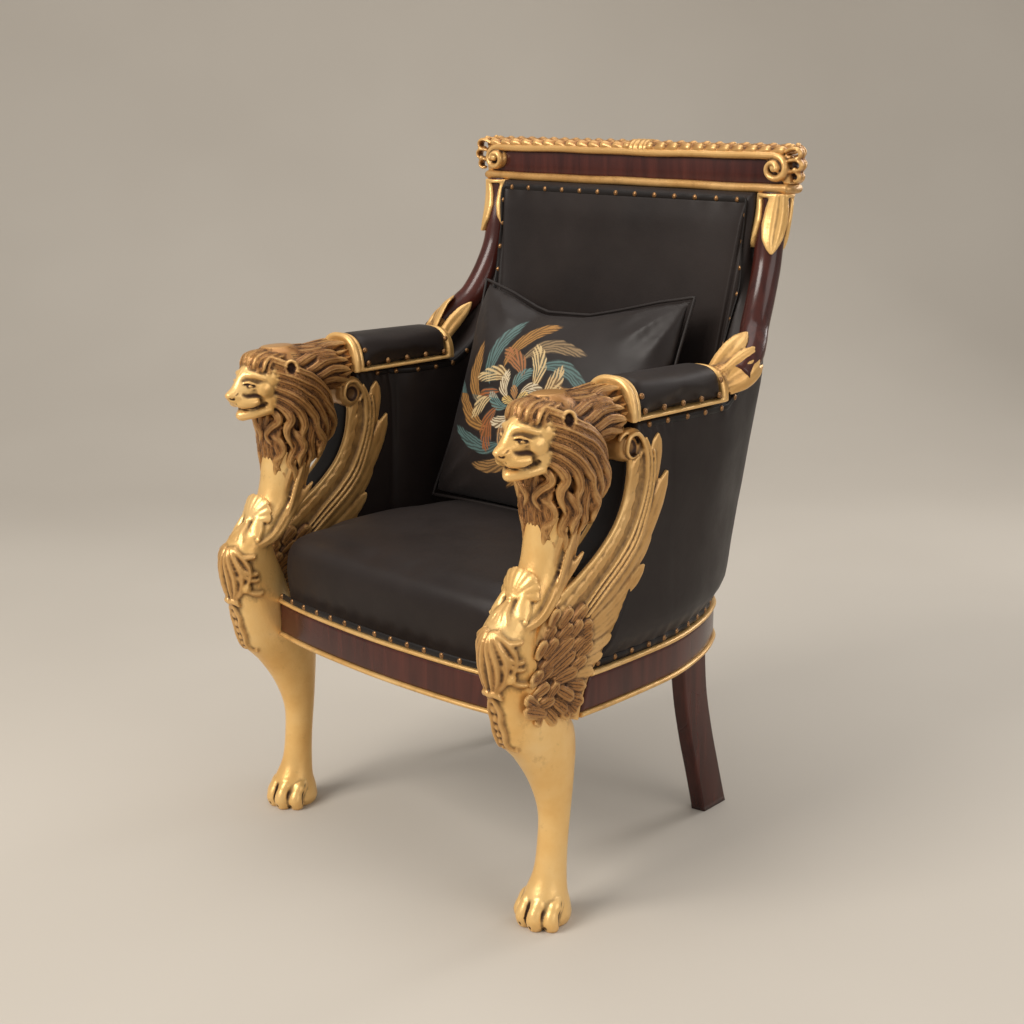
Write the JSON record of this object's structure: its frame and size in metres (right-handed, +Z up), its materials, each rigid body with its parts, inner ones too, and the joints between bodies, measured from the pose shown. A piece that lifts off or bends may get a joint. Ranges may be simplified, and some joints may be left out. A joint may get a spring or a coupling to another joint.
{
  "type": "throne armchair",
  "caption": "Gilded lion-support throne armchair with winged arm supports, black leather tub upholstery, mahogany rail and carved crest.",
  "frame": {"origin": "centre of the overall box, on the floor", "axes": "+Z up, the chair faces -Y, +X is to the right of someone who looks at its front"},
  "size_m": [0.7192, 0.694, 1.1194],
  "materials": {
    "gilding": "antique gold leaf over carved wood, dark patina in the recesses",
    "mahogany": "polished dark red-brown",
    "leather": "satin black",
    "cushion": "satin black with a printed pattern"
  },
  "bodies": {
    "root": {"lion_support_right": "gilding", "lion_support_left": "gilding", "front_bead_low": "gilding", "front_bead_high": "gilding", "side_bead_low": "gilding", "side_bead_high": "gilding", "arm_gilding_right": "gilding", "arm_gilding_left": "gilding", "post_leaves_right": "gilding", "post_leaves_left": "gilding", "crest_lower_moulding": "gilding", "crest_upper_moulding": "gilding", "crest_laurel": "gilding", "front_rail": "mahogany", "side_rail": "mahogany", "rear_leg_right": "mahogany", "rear_leg_left": "mahogany", "back_post_right": "mahogany", "back_post_left": "mahogany", "crest_panel": "mahogany", "support_facing_right": "leather", "support_facing_left": "leather", "tub_upholstery": "leather", "seat_upholstery": "leather", "arm_pad_right": "leather", "arm_pad_left": "leather", "loose_cushion": "cushion"}
  },
  "joints": []
}
